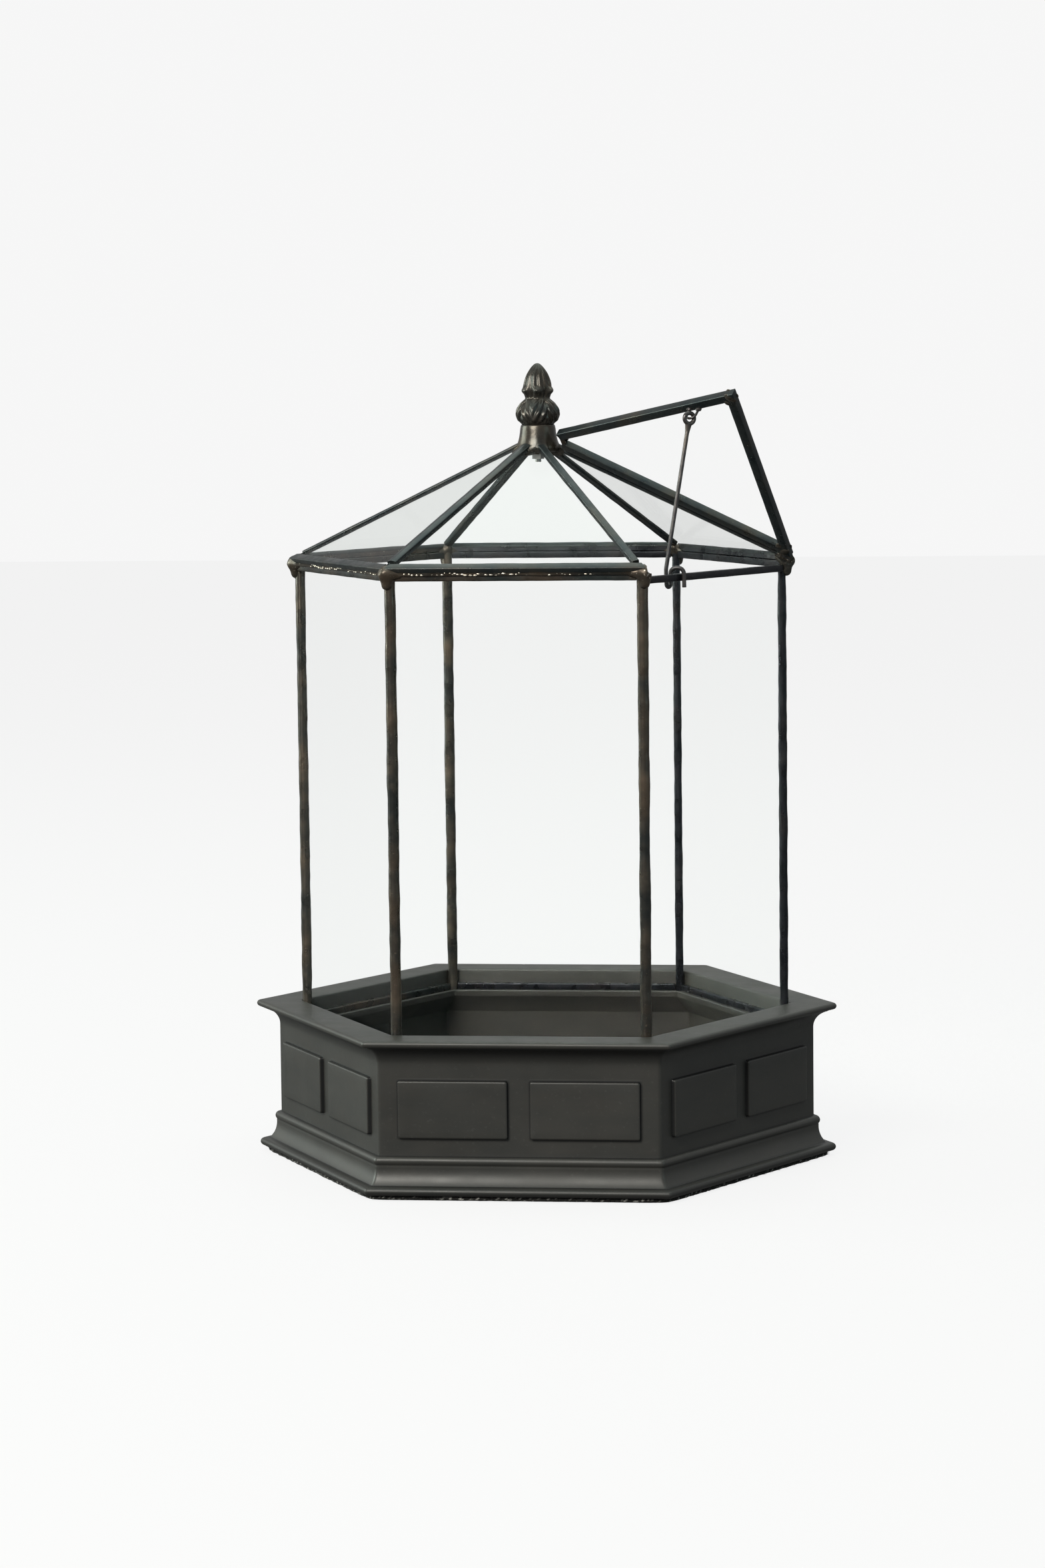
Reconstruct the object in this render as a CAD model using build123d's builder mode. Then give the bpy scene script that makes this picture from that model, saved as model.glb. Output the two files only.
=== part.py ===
"""Hexagonal glass case: moulded base, leaded glass house, hinged roof door and wire stay.

Origin at the centre of the underside of the felt, +Z up, front face towards -Y, millimetres.
Sides and corners are numbered anticlockwise from +X: corner k stands at 60 * k degrees and
side k faces 30 + 60 * k degrees. Side 5, at the front right, has the door in its roof pane.
"""

from build123d import *

import os
from math import atan2, cos, hypot, radians, sin, tan

# ---------------------------------------------------------------- driving dimensions
SIDES = ["rear_right", "rear", "rear_left", "front_left", "front", "front_right"]
CORNERS = ["right", "rear_right", "rear_left", "left", "front_left", "front_right"]
DOOR_SIDE = 5
HINGE_CORNER = 0
LATCH_CORNER = 5

FELT_THICKNESS = 3.0
FELT_CORNER_RADIUS = 194.0

BASE_WALL = 158.2  # apothem of the outer wall face
BASE_INNER = 150.0  # apothem of the cavity
BASE_FLOOR_TOP = 9.0
BASE_TOP = 104.0
RIM_INNER = 144.75
LEDGE_INNER = 137.0
LEDGE_TOP = 90.0
PANEL_SIZE = (71.3, 37.7)
PANEL_CENTRE = (42.85, 57.85)  # along the face and up
PANEL_RAISE = 2.8

GLASS = 2.4
WALL_PLANE = 142.1  # apothem of the middle of the wall glass
WALL_CAME = 4.6  # height and depth of the cames above and below the wall glass
WALL_CAME_HALF = 77.4
WALL_CAME_TOP = 402.0
DOOR_CAME_TOP = 399.5  # the came under the door sits lower
CAME_GRIP = 3.2  # how far the wall glass goes into a came
PANE_HALF = 79.0
POST_RADIUS = 3.7
POST_CIRCLE = 162.5

APEX = 486.0  # height where the middles of the roof panes meet
EAVE = 404.0
EAVE_CORNER = 170.0
ROOF_CAME = 4.4  # thickness of the fixed roof cames
EAVE_CAME_WIDTH = 6.4
EAVE_CAME_GRIP = 3.6
HIP_WING = 3.3  # a hip came grips a pane each side of the hip
DOOR_HIP_WING = 4.6  # beside the door it grips one pane only
HIP_END = 160.0  # radius where a hip came stops short of the eave corner
ROOF_GLASS_INSET = 1.2
ROOF_GLASS_TIP = 10.0
SOLDER_RADIUS = 6.0
SOLDER_CIRCLE = 167.5

COLLAR_RADIUS = 13.6
COLLAR_NECK = 11.5
COLLAR_BOTTOM = 474.0
COLLAR_TOP = 494.4
STUD_RADIUS = 2.0
STUD_SPAN = (468.8, 506.0)
THREAD_GAP = 0.02
NUT_HEIGHT = 3.2
NUT_RADIUS = 4.04  # across corners, halved
FINIAL_TIP = 535.0

DOOR_CAME = 5.2  # thickness of the door frame
DOOR_CAME_WIDTH = 6.0
DOOR_GRIP = 2.8
DOOR_GAP = 1.0  # from the hip lines to the door frame
DOOR_EAVE_GAP = 0.6
DOOR_TIP = 14.5  # the frame stops this far down the slope from the apex
DOOR_TIP_SOLDER = 17.5  # middle of the solder that joins the stiles there
DOOR_TIP_CLEARANCE = 1.2  # between the shut door and the collar
DOOR_SOLDER_RADIUS = 3.4
DOOR_OPEN = 49.3  # degrees from shut to resting on the stay

HINGE_RISE = 3.1  # hinge axis above the hip line
HINGE_ROD_RADIUS = 0.8
HINGE_BORE_RADIUS = 0.86
HINGE_TUBE_RADIUS = 1.78
HINGE_TUBE_SPAN = (29.5, 173.5)  # measured down the hip from the apex
HINGE_LEG_SPAN = (27.0, 176.0)
HINGE_LEG = 4.6

STAY_RADIUS = 1.2
STAY_EYE_RADIUS = 3.4
STAPLE_WIRE = 0.8
STAPLE_RADIUS = 3.6
STAPLE_PLACE = 0.783  # down the free edge of the door, as a share of its length
STAPLE_INSET = 6.0  # from the free edge line to the eye
STAPLE_DROP = 10.4  # from the middle of the door down to the eye
SWING_DIRECTION = Vector(-0.192, 0.629, 0.753)
STAPLE_TURN = 31.8
# bends of the stay below its eye, in the plane of the wall under the door: along, up, outwards
STAY_BENDS = [
    (-51.0, 403.0, -3.9),
    (-51.2, 391.2, -3.9),
    (-46.6, 391.2, -3.9),
    (-46.0, 403.4, -3.9),
    (-42.4, 403.4, 4.0),
    (-42.0, 390.8, 4.0),
]
STAY_BEND_RADII = [12.0, 2.2, 2.2, 3.8, 3.8]

# ---------------------------------------------------------------- derived geometry
EAVE_APOTHEM = EAVE_CORNER * cos(radians(30))
SLOPE_LENGTH = hypot(EAVE_APOTHEM, APEX - EAVE)
SLOPE = atan2(APEX - EAVE, EAVE_APOTHEM)
HIP_LENGTH = hypot(EAVE_CORNER, APEX - EAVE)
HIP_SLOPE = atan2(APEX - EAVE, EAVE_CORNER)
HALF_ANGLE = atan2(EAVE_CORNER / 2, SLOPE_LENGTH)
# how far a pane falls away sideways from a hip, seen along the hip
SIDE_FALL = atan2(
    sin(SLOPE) / 2, cos(SLOPE) * cos(HIP_SLOPE) + sin(SLOPE) * cos(radians(30)) * sin(HIP_SLOPE)
)


def plan(angle):
    """Unit vector in plan at this angle."""
    return Vector(cos(radians(angle)), sin(radians(angle)), 0)


def wall_plane(side):
    """Middle of a side's wall glass: x along the wall, y up, z outwards."""
    angle = 30 + 60 * side
    return Plane(origin=plan(angle) * WALL_PLANE, x_dir=plan(angle + 90), z_dir=plan(angle))


def roof_plane(side):
    """Middle of a side's roof glass: origin at the apex, y up the slope, z outwards."""
    angle = 30 + 60 * side
    normal = plan(angle) * sin(SLOPE) + Vector(0, 0, cos(SLOPE))
    return Plane(origin=(0, 0, APEX), x_dir=plan(angle + 90), z_dir=normal)


def hip_plane(corner, distance=0.0):
    """Across a hip, this far down it from the apex: x sideways, y up, z down the hip."""
    down = plan(60 * corner) * cos(HIP_SLOPE) - Vector(0, 0, sin(HIP_SLOPE))
    origin = Vector(0, 0, APEX) + down * distance
    return Plane(origin=origin, x_dir=plan(60 * corner + 90), z_dir=down)


def roof_outline(left, right, bottom, top):
    """Corners of a roof shape inset from its two hips and the eave and cut off below the apex."""
    low = SLOPE_LENGTH - bottom

    def half_width(down, inset):
        return down * tan(HALF_ANGLE) - inset / cos(HALF_ANGLE)

    return [
        (-half_width(low, left), -low),
        (half_width(low, right), -low),
        (half_width(top, right), -top),
        (-half_width(top, left), -top),
    ]


def wing_corner(sign, reach, rise):
    """Point in a hip's cross-section, at this reach along one pane and rise off its middle."""
    x = sign * (reach * cos(SIDE_FALL) + rise * sin(SIDE_FALL))
    return (x, rise * cos(SIDE_FALL) - reach * sin(SIDE_FALL))


def largest_solid(shape):
    return shape.solids().sort_by(SortBy.VOLUME)[-1]


def save(shape, name):
    shape.label = name
    export_step(shape, f"parts/{name}.step")


os.makedirs("parts", exist_ok=True)

# ---------------------------------------------------------------- base
with BuildPart() as felt_pad:
    with BuildSketch():
        RegularPolygon(FELT_CORNER_RADIUS, 6)
    extrude(amount=FELT_THICKNESS)
save(felt_pad.part, "felt_pad")

with BuildPart() as base_shell:
    with BuildLine() as rim_path:
        middle = plan(30) * BASE_WALL
        wall_corners = [plan(60 * k) * (BASE_WALL / cos(radians(30))) for k in range(1, 7)]
        Polyline(middle, *wall_corners, middle)
    with BuildSketch(Plane(origin=(0, 0, 0), x_dir=plan(30), z_dir=plan(-60))):
        with BuildLine():
            Line((BASE_INNER, 3.0), (168.3, 3.0))
            ThreePointArc((168.3, 3.0), (171.0, 5.75), (168.3, 8.5))
            Line((168.3, 8.5), (165.0, 8.5))
            ThreePointArc((165.0, 8.5), (161.7, 14.0), (160.6, 21.5))
            Line((160.6, 21.5), (160.0, 21.5))
            ThreePointArc((160.0, 21.5), (161.9, 24.25), (160.0, 27.0))
            Line((160.0, 27.0), (BASE_WALL, 27.0))
            Line((BASE_WALL, 27.0), (BASE_WALL, 88.0))
            ThreePointArc((BASE_WALL, 88.0), (160.9, 94.8), (167.0, 98.5))
            Line((167.0, 98.5), (167.0, 99.5))
            Line((167.0, 99.5), (169.45, 99.5))
            ThreePointArc((169.45, 99.5), (171.7, 101.75), (169.45, BASE_TOP))
            Line((169.45, BASE_TOP), (RIM_INNER + 1.0, BASE_TOP))
            Line((RIM_INNER + 1.0, BASE_TOP), (RIM_INNER, BASE_TOP - 1.0))
            Line((RIM_INNER, BASE_TOP - 1.0), (RIM_INNER, LEDGE_TOP))
            Line((RIM_INNER, LEDGE_TOP), (LEDGE_INNER, LEDGE_TOP))
            Line((LEDGE_INNER, LEDGE_TOP), (LEDGE_INNER, 86.0))
            Line((LEDGE_INNER, 86.0), (BASE_INNER, 73.0))
            Line((BASE_INNER, 73.0), (BASE_INNER, 3.0))
        make_face()
    sweep(path=rim_path.wires()[0], transition=Transition.RIGHT)
    with BuildSketch(Plane.XY.offset(FELT_THICKNESS)):
        RegularPolygon(BASE_INNER + 2.0, 6, major_radius=False)
    extrude(amount=BASE_FLOOR_TOP - FELT_THICKNESS)
    for side in range(6):
        face = wall_plane(side).offset(BASE_WALL - WALL_PLANE)
        with BuildSketch(face):
            with Locations((PANEL_CENTRE[0], PANEL_CENTRE[1]), (-PANEL_CENTRE[0], PANEL_CENTRE[1])):
                Rectangle(*PANEL_SIZE)
        extrude(amount=PANEL_RAISE)
save(base_shell.part, "base_shell")

# ---------------------------------------------------------------- wall glass and cames
wall_panes = []
top_cames = []
for side, side_name in enumerate(SIDES):
    came_top = DOOR_CAME_TOP if side == DOOR_SIDE else WALL_CAME_TOP
    pane_low = LEDGE_TOP + WALL_CAME - CAME_GRIP
    pane_high = came_top - WALL_CAME + CAME_GRIP
    with BuildPart() as wall_pane:
        with BuildSketch(wall_plane(side)):
            with Locations((0, (pane_low + pane_high) / 2)):
                Rectangle(2 * PANE_HALF, pane_high - pane_low)
        extrude(amount=GLASS / 2, both=True)
    save(wall_pane.part, f"wall_pane_{side_name}")
    wall_panes.append(wall_pane.part)

    for kind, low in (("sill", LEDGE_TOP), ("wall_top", came_top - WALL_CAME)):
        with BuildPart() as came:
            with BuildSketch(wall_plane(side)):
                with Locations((0, low + WALL_CAME / 2)):
                    Rectangle(2 * WALL_CAME_HALF, WALL_CAME)
            extrude(amount=WALL_CAME / 2, both=True)
            add(wall_pane.part, mode=Mode.SUBTRACT)
        save(came.part, f"{kind}_came_{side_name}")
    top_cames.append(came.part)

posts = []
for corner, corner_name in enumerate(CORNERS):
    with BuildPart() as post:
        with BuildSketch(Plane.XY.offset(LEDGE_TOP)):
            centre = plan(60 * corner) * POST_CIRCLE
            with Locations((centre.X, centre.Y)):
                Circle(POST_RADIUS)
        extrude(amount=WALL_CAME_TOP - LEDGE_TOP)
        add(wall_panes[corner], mode=Mode.SUBTRACT)
        add(wall_panes[corner - 1], mode=Mode.SUBTRACT)
    save(post.part, f"corner_post_{corner_name}")
    posts.append(post.part)

# ---------------------------------------------------------------- apex
with BuildPart() as apex_collar:
    with BuildSketch(Plane.XZ):
        with BuildLine():
            Polyline(
                (COLLAR_NECK, COLLAR_TOP),
                (STUD_RADIUS + 0.1, COLLAR_TOP),
                (STUD_RADIUS + 0.1, COLLAR_BOTTOM),
                (COLLAR_RADIUS, COLLAR_BOTTOM),
                (COLLAR_RADIUS, 482.0),
            )
            ThreePointArc((COLLAR_RADIUS, 482.0), (12.1, 484.6), (COLLAR_NECK, 488.0))
            Line((COLLAR_NECK, 488.0), (COLLAR_NECK, COLLAR_TOP))
        make_face()
    revolve(axis=Axis.Z)
save(apex_collar.part, "apex_collar")

with BuildPart() as finial_stud:
    with BuildSketch(Plane.XY.offset(STUD_SPAN[0])):
        Circle(STUD_RADIUS)
    extrude(amount=STUD_SPAN[1] - STUD_SPAN[0])
save(finial_stud.part, "finial_stud")

with BuildPart() as finial_nut:
    with BuildSketch(Plane.XY.offset(COLLAR_BOTTOM - NUT_HEIGHT)):
        RegularPolygon(NUT_RADIUS, 6)
        Circle(STUD_RADIUS + THREAD_GAP, mode=Mode.SUBTRACT)
    extrude(amount=NUT_HEIGHT)
save(finial_nut.part, "finial_nut")

with BuildPart() as finial:
    with BuildSketch(Plane.XZ):
        with BuildLine():
            ThreePointArc((COLLAR_NECK, COLLAR_TOP), (14.4, 501.4), (9.0, 509.5))
            Line((9.0, 509.5), (9.0, 512.5))
            ThreePointArc((9.0, 512.5), (11.2, 518.6), (6.0, 526.5))
            ThreePointArc((6.0, 526.5), (3.1, 529.8), (1.0, FINIAL_TIP - 1.0))
            Polyline(
                (1.0, FINIAL_TIP - 1.0),
                (0, FINIAL_TIP),
                (0, STUD_SPAN[1] + 0.5),
                (STUD_RADIUS + THREAD_GAP, STUD_SPAN[1] + 0.5),
                (STUD_RADIUS + THREAD_GAP, COLLAR_TOP),
                (COLLAR_NECK, COLLAR_TOP),
            )
        make_face()
    revolve(axis=Axis.Z)
save(finial.part, "finial")

with BuildPart() as collar_room:
    with BuildSketch(Plane.XY.offset(COLLAR_BOTTOM - 20)):
        Circle(COLLAR_RADIUS + 0.02)
    extrude(amount=COLLAR_TOP - COLLAR_BOTTOM + 40)

# ---------------------------------------------------------------- fixed roof
roof_panes = {}
eave_cames = {}
for side, side_name in enumerate(SIDES):
    if side == DOOR_SIDE:
        continue
    left = ROOF_GLASS_INSET + (DOOR_GAP if side == HINGE_CORNER else 0)
    right = ROOF_GLASS_INSET + (DOOR_GAP if side + 1 == LATCH_CORNER else 0)
    with BuildPart() as roof_pane:
        with BuildSketch(roof_plane(side)):
            Polygon(
                *roof_outline(left, right, EAVE_CAME_WIDTH - EAVE_CAME_GRIP, ROOF_GLASS_TIP), align=None
            )
        extrude(amount=GLASS / 2, both=True)
        add(collar_room.part, mode=Mode.SUBTRACT)
    save(roof_pane.part, f"roof_pane_{side_name}")
    roof_panes[side] = roof_pane.part

    with BuildPart() as eave_came:
        with BuildSketch(roof_plane(side)):
            Polygon(*roof_outline(1.0, 1.0, 0, SLOPE_LENGTH - EAVE_CAME_WIDTH), align=None)
        extrude(amount=ROOF_CAME / 2, both=True)
        add(roof_pane.part, mode=Mode.SUBTRACT)
    save(eave_came.part, f"eave_came_{side_name}")
    eave_cames[side] = eave_came.part

hips = []
for corner, corner_name in enumerate(CORNERS):
    half = ROOF_CAME / 2
    if corner == HINGE_CORNER or corner == LATCH_CORNER:
        sign = 1 if corner == HINGE_CORNER else -1
        reach = DOOR_GAP + DOOR_HIP_WING
        section = [
            wing_corner(sign, DOOR_GAP, half),
            wing_corner(sign, reach, half),
            wing_corner(sign, reach, -half),
            wing_corner(sign, DOOR_GAP, -half),
        ]
    else:
        section = [
            (0, half / cos(SIDE_FALL)),
            wing_corner(1, HIP_WING, half),
            wing_corner(1, HIP_WING, -half),
            (0, -half / cos(SIDE_FALL)),
            wing_corner(-1, HIP_WING, -half),
            wing_corner(-1, HIP_WING, half),
        ]
    with BuildPart() as hip:
        with BuildSketch(hip_plane(corner, 5.0)):
            Polygon(*section, align=None)
        extrude(amount=HIP_END / cos(HIP_SLOPE) - 5.0)
        add(collar_room.part, mode=Mode.SUBTRACT)
        for side in (corner, (corner - 1) % 6):
            if side in roof_panes:
                add(roof_panes[side], mode=Mode.SUBTRACT)
    hip_came = largest_solid(hip.part)
    save(hip_came, f"hip_came_{corner_name}")
    hips.append(hip_came)

# the room that the shut door takes up, and above it
with BuildPart() as door_room:
    with BuildSketch(roof_plane(DOOR_SIDE).offset(-3.8)):
        Polygon(*roof_outline(0.3, 0.3, -2.0, DOOR_TIP - 1), align=None)
    extrude(amount=20)

solder_balls = []
for corner in range(6):
    centre = plan(60 * corner) * SOLDER_CIRCLE
    around = (corner, (corner - 1) % 6)
    with BuildPart() as ball:
        with Locations(Location((centre.X, centre.Y, EAVE - 0.5), (0, 0, 60 * corner))):
            Sphere(SOLDER_RADIUS)
        for side in around:
            if side == DOOR_SIDE:
                add(door_room.part, mode=Mode.SUBTRACT)
            add(top_cames[side], mode=Mode.SUBTRACT)
        add(posts[corner], mode=Mode.SUBTRACT)
        add(hips[corner], mode=Mode.SUBTRACT)
        for side in around:
            if side in eave_cames:
                add(eave_cames[side], mode=Mode.SUBTRACT)
                add(roof_panes[side], mode=Mode.SUBTRACT)
    solder_balls.append(largest_solid(ball.part))
with BuildPart() as eave_solder:
    add(solder_balls)
save(eave_solder.part, "eave_solder")

# ---------------------------------------------------------------- hinge
hinge_point = hip_plane(HINGE_CORNER).from_local_coords((0, HINGE_RISE, 0))
hinge_axis = Axis(hinge_point, hip_plane(HINGE_CORNER).z_dir)

with BuildPart() as hinge_tube:
    with BuildSketch(hip_plane(HINGE_CORNER, HINGE_TUBE_SPAN[0])):
        with Locations((0, HINGE_RISE)):
            Circle(HINGE_TUBE_RADIUS)
            Circle(HINGE_BORE_RADIUS, mode=Mode.SUBTRACT)
    extrude(amount=HINGE_TUBE_SPAN[1] - HINGE_TUBE_SPAN[0])

with BuildPart() as hinge_rod:
    hip_frame = hip_plane(HINGE_CORNER)
    leg_x, leg_y = wing_corner(1, HINGE_LEG, HINGE_RISE * cos(SIDE_FALL))
    rod_points = [
        hip_frame.from_local_coords((leg_x, leg_y, HINGE_LEG_SPAN[0])),
        hip_frame.from_local_coords((0, HINGE_RISE, HINGE_LEG_SPAN[0])),
        hip_frame.from_local_coords((0, HINGE_RISE, HINGE_LEG_SPAN[1])),
        hip_frame.from_local_coords((leg_x, leg_y, HINGE_LEG_SPAN[1])),
    ]
    with BuildLine() as rod_path:
        FilletPolyline(*rod_points, radius=1.6)
    with BuildSketch(Plane(origin=rod_path.line @ 0, z_dir=rod_path.line % 0)):
        Circle(HINGE_ROD_RADIUS)
    sweep()
save(hinge_rod.part, "hinge_rod")

# ---------------------------------------------------------------- door, drawn shut and then opened
frame_inset = DOOR_GAP + DOOR_CAME_WIDTH
stiles_meet = frame_inset / sin(HALF_ANGLE)
outer = roof_outline(DOOR_GAP, DOOR_GAP, DOOR_EAVE_GAP, DOOR_TIP)
inner = roof_outline(frame_inset, frame_inset, DOOR_EAVE_GAP + DOOR_CAME_WIDTH, stiles_meet)
tip = (0, -DOOR_TIP)
meet = (0, -stiles_meet)
door_plane = roof_plane(DOOR_SIDE)

with BuildPart() as tip_room:
    with BuildSketch(Plane.XY.offset(COLLAR_BOTTOM - 20)):
        Circle(COLLAR_RADIUS + DOOR_TIP_CLEARANCE)
    extrude(amount=COLLAR_TOP - COLLAR_BOTTOM + 40)

with BuildPart() as door_pane:
    glass_inset = frame_inset - DOOR_GRIP
    with BuildSketch(door_plane):
        glass_low = DOOR_EAVE_GAP + DOOR_CAME_WIDTH - DOOR_GRIP
        Polygon(*roof_outline(glass_inset, glass_inset, glass_low, DOOR_TIP + 4), align=None)
    extrude(amount=GLASS / 2, both=True)

with BuildPart() as door_solder:
    for corner in (0, 1):
        middle = (Vector(*outer[corner]) + Vector(*inner[corner])) / 2
        with Locations(door_plane.from_local_coords(middle)):
            Sphere(DOOR_SOLDER_RADIUS)
    with Locations(door_plane.from_local_coords((0, -DOOR_TIP_SOLDER))):
        Sphere(DOOR_SOLDER_RADIUS)
    add(door_pane.part, mode=Mode.SUBTRACT)
    add(tip_room.part, mode=Mode.SUBTRACT)

door_frame = {}
door_bars = (
    ("door_bottom_rail", (outer[0], outer[1], inner[1], inner[0])),
    ("door_hinge_stile", (outer[1], outer[2], tip, meet, inner[1])),
    ("door_free_stile", (outer[3], outer[0], inner[0], meet, tip)),
)
for name, outline in door_bars:
    with BuildPart() as bar:
        with BuildSketch(door_plane):
            Polygon(*outline, align=None)
        extrude(amount=DOOR_CAME / 2, both=True)
        add(door_pane.part, mode=Mode.SUBTRACT)
        add(door_solder.part, mode=Mode.SUBTRACT)
        add(tip_room.part, mode=Mode.SUBTRACT)
    door_frame[name] = bar.part

door_pieces = {
    "door_pane": door_pane.part,
    "door_solder": door_solder.part,
    "hinge_tube": hinge_tube.part,
    **door_frame,
}
for name, piece in door_pieces.items():
    save(piece.rotate(hinge_axis, -DOOR_OPEN), name)

# ---------------------------------------------------------------- staple and stay
free_edge = hip_plane(LATCH_CORNER).z_dir
towards_hinge = door_plane.z_dir.cross(free_edge)
eye_shut = (
    Vector(0, 0, APEX)
    + free_edge * (STAPLE_PLACE * HIP_LENGTH)
    + towards_hinge * STAPLE_INSET
    - door_plane.z_dir * STAPLE_DROP
)
pivot = hinge_axis.position
eye = pivot + (eye_shut - pivot).rotate(hinge_axis, -DOOR_OPEN)
door_up = door_plane.z_dir.rotate(hinge_axis, -DOOR_OPEN)
first_bend = wall_plane(DOOR_SIDE).from_local_coords(STAY_BENDS[0])
rod_down = (first_bend - eye).normalized()
swing_axis = Axis((0, 0, 0), SWING_DIRECTION)
eye_normal = (SWING_DIRECTION - rod_down * SWING_DIRECTION.dot(rod_down)).normalized()
staple_run = eye_normal.rotate(swing_axis, STAPLE_TURN)
staple_run = (staple_run - door_up * staple_run.dot(door_up)).normalized()

with BuildPart() as stay_staple:
    leg = STAPLE_DROP - DOOR_CAME / 2 - STAPLE_RADIUS
    bow = Plane(origin=eye + door_up * STAPLE_RADIUS, x_dir=staple_run, z_dir=staple_run.cross(door_up))
    with BuildLine(bow) as staple_path:
        Line((-STAPLE_RADIUS, leg), (-STAPLE_RADIUS, 0))
        ThreePointArc((-STAPLE_RADIUS, 0), (0, -STAPLE_RADIUS), (STAPLE_RADIUS, 0))
        Line((STAPLE_RADIUS, 0), (STAPLE_RADIUS, leg))
    with BuildSketch(Plane(origin=staple_path.line @ 0, z_dir=staple_path.line % 0)):
        Circle(STAPLE_WIRE)
    sweep()
save(stay_staple.part, "stay_staple")

with BuildPart() as stay_rod:
    with BuildLine() as stay_path:
        bends = [wall_plane(DOOR_SIDE).from_local_coords(bend) for bend in STAY_BENDS]
        FilletPolyline(eye + rod_down * STAY_EYE_RADIUS, *bends, radius=STAY_BEND_RADII)
    with BuildSketch(Plane(origin=stay_path.line @ 0, z_dir=stay_path.line % 0)):
        Circle(STAY_RADIUS)
    sweep()
    with Locations(Plane(origin=eye, x_dir=rod_down, z_dir=eye_normal)):
        Torus(STAY_EYE_RADIUS, STAY_RADIUS)
save(stay_rod.part, "stay_rod")
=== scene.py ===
"""Looks of the hexagonal glass plant case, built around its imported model.

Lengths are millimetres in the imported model's frame until a mesh is made. The stage and the lamps are in
metres. Corner k stands at 60 * k degrees from +X and side k faces 30 + 60 * k degrees. Side 5 has the door.
"""

from math import acos, atan2, ceil, cos, exp, hypot, pi, radians, sin, tan

import bpy
from mathutils import Matrix, Vector, noise


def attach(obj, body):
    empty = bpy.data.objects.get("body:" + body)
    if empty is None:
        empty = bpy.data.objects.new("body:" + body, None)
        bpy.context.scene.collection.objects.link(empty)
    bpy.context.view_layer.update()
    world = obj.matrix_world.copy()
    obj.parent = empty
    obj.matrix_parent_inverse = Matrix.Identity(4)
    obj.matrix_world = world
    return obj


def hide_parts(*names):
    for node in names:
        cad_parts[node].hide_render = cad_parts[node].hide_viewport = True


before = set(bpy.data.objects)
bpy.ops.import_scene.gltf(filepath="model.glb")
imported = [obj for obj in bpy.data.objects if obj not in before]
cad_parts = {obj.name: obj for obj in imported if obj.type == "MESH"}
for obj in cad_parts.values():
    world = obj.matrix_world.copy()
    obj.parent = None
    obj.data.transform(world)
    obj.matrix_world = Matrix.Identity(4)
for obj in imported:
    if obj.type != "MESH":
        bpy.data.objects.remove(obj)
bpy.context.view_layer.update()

SIDES = ["rear_right", "rear", "rear_left", "front_left", "front", "front_right"]
CORNERS = ["right", "rear_right", "rear_left", "left", "front_left", "front_right"]
APEX = 486.0  # where the roof's planes meet
EAVE = 404.0
EAVE_CORNER = 170.0  # from the axis to a corner of the eave
EAVE_APOTHEM = EAVE_CORNER * cos(radians(30))
SLOPE = atan2(APEX - EAVE, EAVE_APOTHEM)
SLOPE_LENGTH = hypot(EAVE_APOTHEM, APEX - EAVE)
HIP_SLOPE = atan2(APEX - EAVE, EAVE_CORNER)
HIP_LENGTH = hypot(EAVE_CORNER, APEX - EAVE)
HALF_ANGLE = atan2(EAVE_CORNER / 2, SLOPE_LENGTH)
SIDE_FALL = acos(sin(SLOPE) ** 2 * cos(radians(60)) + cos(SLOPE) ** 2) / 2  # of a roof plane from its hip
WALL_PLANE = 142.1  # apothem of the middle of the wall glass
WALL_TOP = 402.0
WALL_TOP_DOOR = 399.5  # lower, so that the door has room
WALL_BAR = 2.3  # half the height and depth of a bar on the wall glass
WALL_BAR_HALF = 77.4  # half its length
ROOF_BAR = 2.2  # half the depth of a bar on the roof glass
LEDGE = 90.0  # in the base, where the glass house stands
POST_CIRCLE = 162.5
POST_RADIUS = 3.6
SLIM_POST_RADIUS = 3.0
SLIM_POSTS = (0, 1)  # these two look slimmer and darker in the photograph; their darkness is painted shade
BASE_WALL = 158.2  # apothem of the panelled wall
BASE_FLOOR = 9.0
FELT_THICKNESS = 3.0
FELT_CORNER = 193.0
PANEL_SIZE = (71.3, 37.7)
PANEL_OFFSET = 42.85  # of a panel's middle from the middle of its side
PANEL_MIDDLE = 57.85  # height of its middle
DOOR_OPEN = 49.3  # degrees, at rest
DOOR_INSET = 4.0  # from the hip line to the middle of the door's stile
DOOR_RAIL_UP = 3.6  # from the eave line to the middle of its rail
DOOR_HALF_DEPTH = 2.6
DOOR_TIP = 17.0  # from the apex down the slope to where its stiles end
COLLAR_ROOM = 15.1  # the shut door stays this far from the axis, clear of the collar
HINGE_RISE = 3.1  # hinge line above the hip line
HINGE_ENDS = (27, 176)  # along the hip, where its wire is soldered down
HINGE_TUBE_RADIUS = 1.74
THIN_WIRE = 0.8
EYE_DROP = 10.4  # of the stay's eye below the door's middle plane
EYE_RADIUS = 3.4
STAPLE_RADIUS = 3.6
STAPLE_TURN = 31.8  # degrees the staple is turned from the eye's own axis


# -------------------- geometry helpers
def plan(angle):
    return Vector((cos(radians(angle)), sin(radians(angle)), 0))


def grain(point, scale, seed=0.0):
    """Smooth noise from -1 to 1 with features about this many millimetres across."""
    return noise.noise(Vector(point) / scale + Vector((seed, seed * 0.7, -seed)))


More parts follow.
